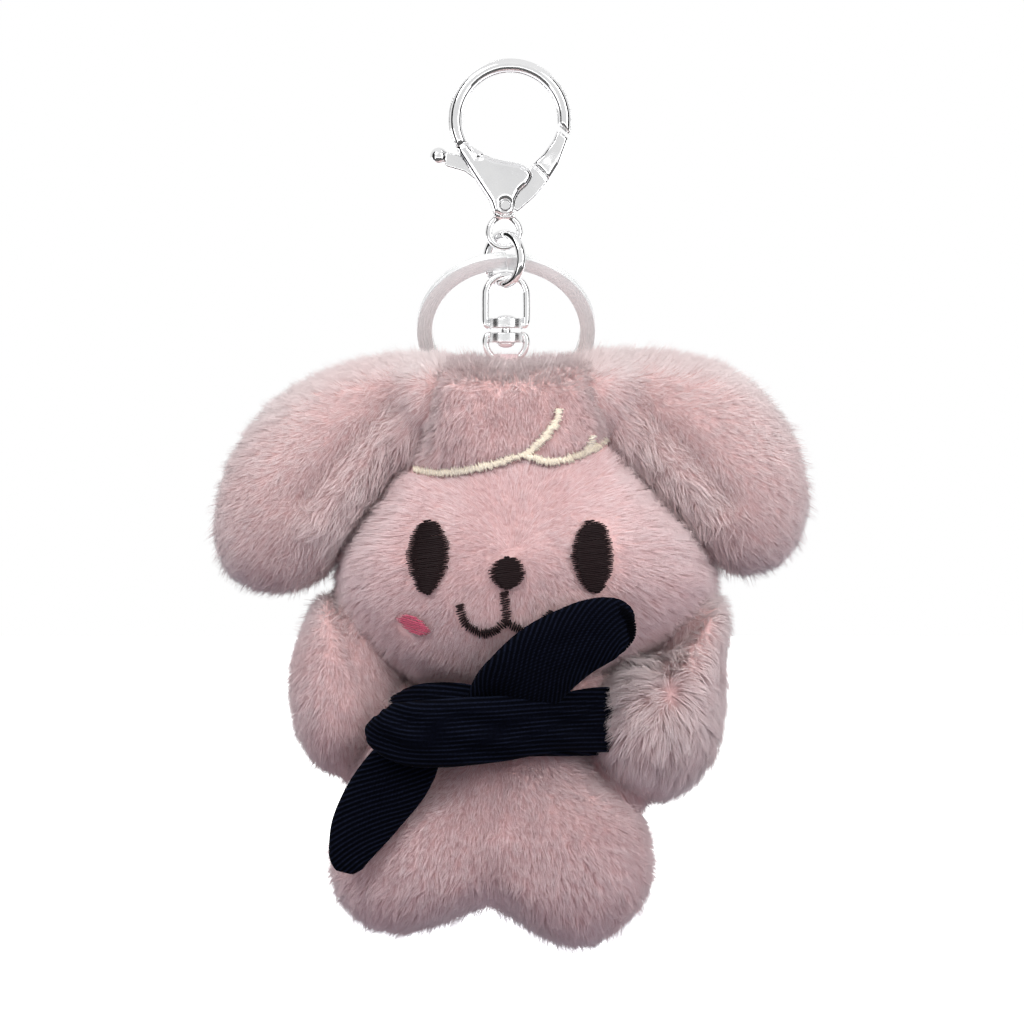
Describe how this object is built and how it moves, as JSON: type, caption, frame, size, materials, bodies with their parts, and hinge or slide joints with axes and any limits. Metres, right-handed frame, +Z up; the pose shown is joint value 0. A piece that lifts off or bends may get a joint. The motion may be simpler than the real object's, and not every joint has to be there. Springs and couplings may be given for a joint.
{
  "type": "plush keychain",
  "caption": "Small pale pink floppy-eared plush animal with a navy scarf, hung by a swivel and jump ring from a lever clasp, with a split key ring.",
  "frame": {"origin": "inner top of the clasp's ring, where the keychain hangs", "axes": "+Z up, the way it hangs; the face looks along -Y; +X is the viewer's right"},
  "size_m": [0.0972, 0.0433, 0.1483],
  "materials": {
    "clasp_plating": "bright nickel plate on cast zinc",
    "pin_steel": "plain steel",
    "ring_plating": "bright nickel plate",
    "key_ring_steel": "polished spring steel",
    "ribbon": "woven satin ribbon",
    "plush_pile": "short faux fur, pale pink",
    "stuffing": "polyester fibre filling",
    "dark_thread": "satin stitch embroidery",
    "pink_thread": "satin stitch embroidery",
    "cream_thread": "satin stitch embroidery",
    "scarf_twill": "ribbed cotton twill, navy"
  },
  "bodies": {
    "clasp": {"clasp_body": "clasp_plating", "clasp_pivot_pin": "pin_steel", "clasp_spring": "pin_steel"},
    "gate": {"clasp_gate": "clasp_plating"},
    "jump_link": {"jump_ring": "ring_plating"},
    "key_ring": {"split_key_ring": "key_ring_steel"},
    "swivel_upper": {"swivel_upper_bail": "ring_plating", "swivel_rivet": "ring_plating"},
    "swivel_lower": {"swivel_lower_bail": "ring_plating"},
    "plush": {"hanging_loop": "ribbon", "head_front": "plush_pile", "head_back": "plush_pile", "head_stuffing": "stuffing", "body_front": "plush_pile", "body_back": "plush_pile", "body_stuffing": "stuffing", "eye_left": "dark_thread", "eye_right": "dark_thread", "nose": "dark_thread", "mouth": "dark_thread", "cheek_left": "pink_thread", "cheek_right": "pink_thread", "fringe_line": "cream_thread", "scarf_wrap": "scarf_twill", "scarf_knot": "scarf_twill"},
    "left_ear": {"ear_left_front": "plush_pile", "ear_left_back": "plush_pile", "ear_left_stuffing": "stuffing"},
    "right_ear": {"ear_right_front": "plush_pile", "ear_right_back": "plush_pile", "ear_right_stuffing": "stuffing"},
    "left_arm": {"arm_left_front": "plush_pile", "arm_left_back": "plush_pile", "arm_left_stuffing": "stuffing"},
    "right_arm": {"arm_right_front": "plush_pile", "arm_right_back": "plush_pile", "arm_right_stuffing": "stuffing"},
    "scarf_upper_end": {"scarf_tail_upper": "scarf_twill"},
    "scarf_lower_end": {"scarf_tail_lower": "scarf_twill"}
  },
  "joints": [
    {"name": "gate_pivot", "type": "hinge", "parent": "clasp", "child": "gate", "pos_m": [-0.0008, 0, -0.0222], "axis": [0, -1, 0], "range_deg": [0, 25], "stiffness_Nm_per_rad": 0.02, "springref_deg": -20.05, "deforming": ["clasp_spring"]},
    {"name": "jump_ring_swing", "type": "hinge", "parent": "clasp", "child": "jump_link", "pos_m": [-0.001, 0, -0.027], "axis": [0, -1, 0], "range_deg": [-30, 30]},
    {"name": "key_ring_lift", "type": "hinge", "parent": "jump_link", "child": "key_ring", "pos_m": [-0.0007, 0, -0.03142], "axis": [1, 0, 0], "range_deg": [0, 100]},
    {"name": "swivel_tilt", "type": "hinge", "parent": "jump_link", "child": "swivel_upper", "pos_m": [-0.0007, 0, -0.0338], "axis": [-1, 0, 0], "range_deg": [0, 45]},
    {"name": "swivel_turn", "type": "hinge", "parent": "swivel_upper", "child": "swivel_lower", "pos_m": [-0.0007, 0, -0.0431], "axis": [0, 0, 1], "range_deg": [-20, 20]},
    {"name": "plush_tilt", "type": "hinge", "parent": "swivel_lower", "child": "plush", "pos_m": [-0.0007, 0, -0.0482], "axis": [-1, 0, 0], "range_deg": [0, 40]},
    {"name": "left_ear_flop", "type": "hinge", "parent": "plush", "child": "left_ear", "pos_m": [-0.0129, 0, -0.0485], "axis": [0, 1, 0], "range_deg": [0, 40], "stiffness_Nm_per_rad": 0.004},
    {"name": "right_ear_flop", "type": "hinge", "parent": "plush", "child": "right_ear", "pos_m": [0.0145, 0, -0.0483], "axis": [0, -1, 0], "range_deg": [0, 40], "stiffness_Nm_per_rad": 0.004},
    {"name": "left_arm_swing", "type": "hinge", "parent": "plush", "child": "left_arm", "pos_m": [-0.0305, 0, -0.0867], "axis": [0, 1, 0], "range_deg": [0, 30], "stiffness_Nm_per_rad": 0.003},
    {"name": "right_arm_swing", "type": "hinge", "parent": "plush", "child": "right_arm", "pos_m": [0.0347, 0, -0.0879], "axis": [0, -1, 0], "range_deg": [0, 30], "stiffness_Nm_per_rad": 0.003},
    {"name": "scarf_upper_flop", "type": "hinge", "parent": "plush", "child": "scarf_upper_end", "pos_m": [0.006, -0.0231, -0.1051], "axis": [1, 0, 0], "range_deg": [0, 60], "stiffness_Nm_per_rad": 0.001},
    {"name": "scarf_lower_flop", "type": "hinge", "parent": "plush", "child": "scarf_lower_end", "pos_m": [-0.0165, -0.013, -0.1166], "axis": [-1, 0, 0], "range_deg": [0, 60], "stiffness_Nm_per_rad": 0.001}
  ]
}
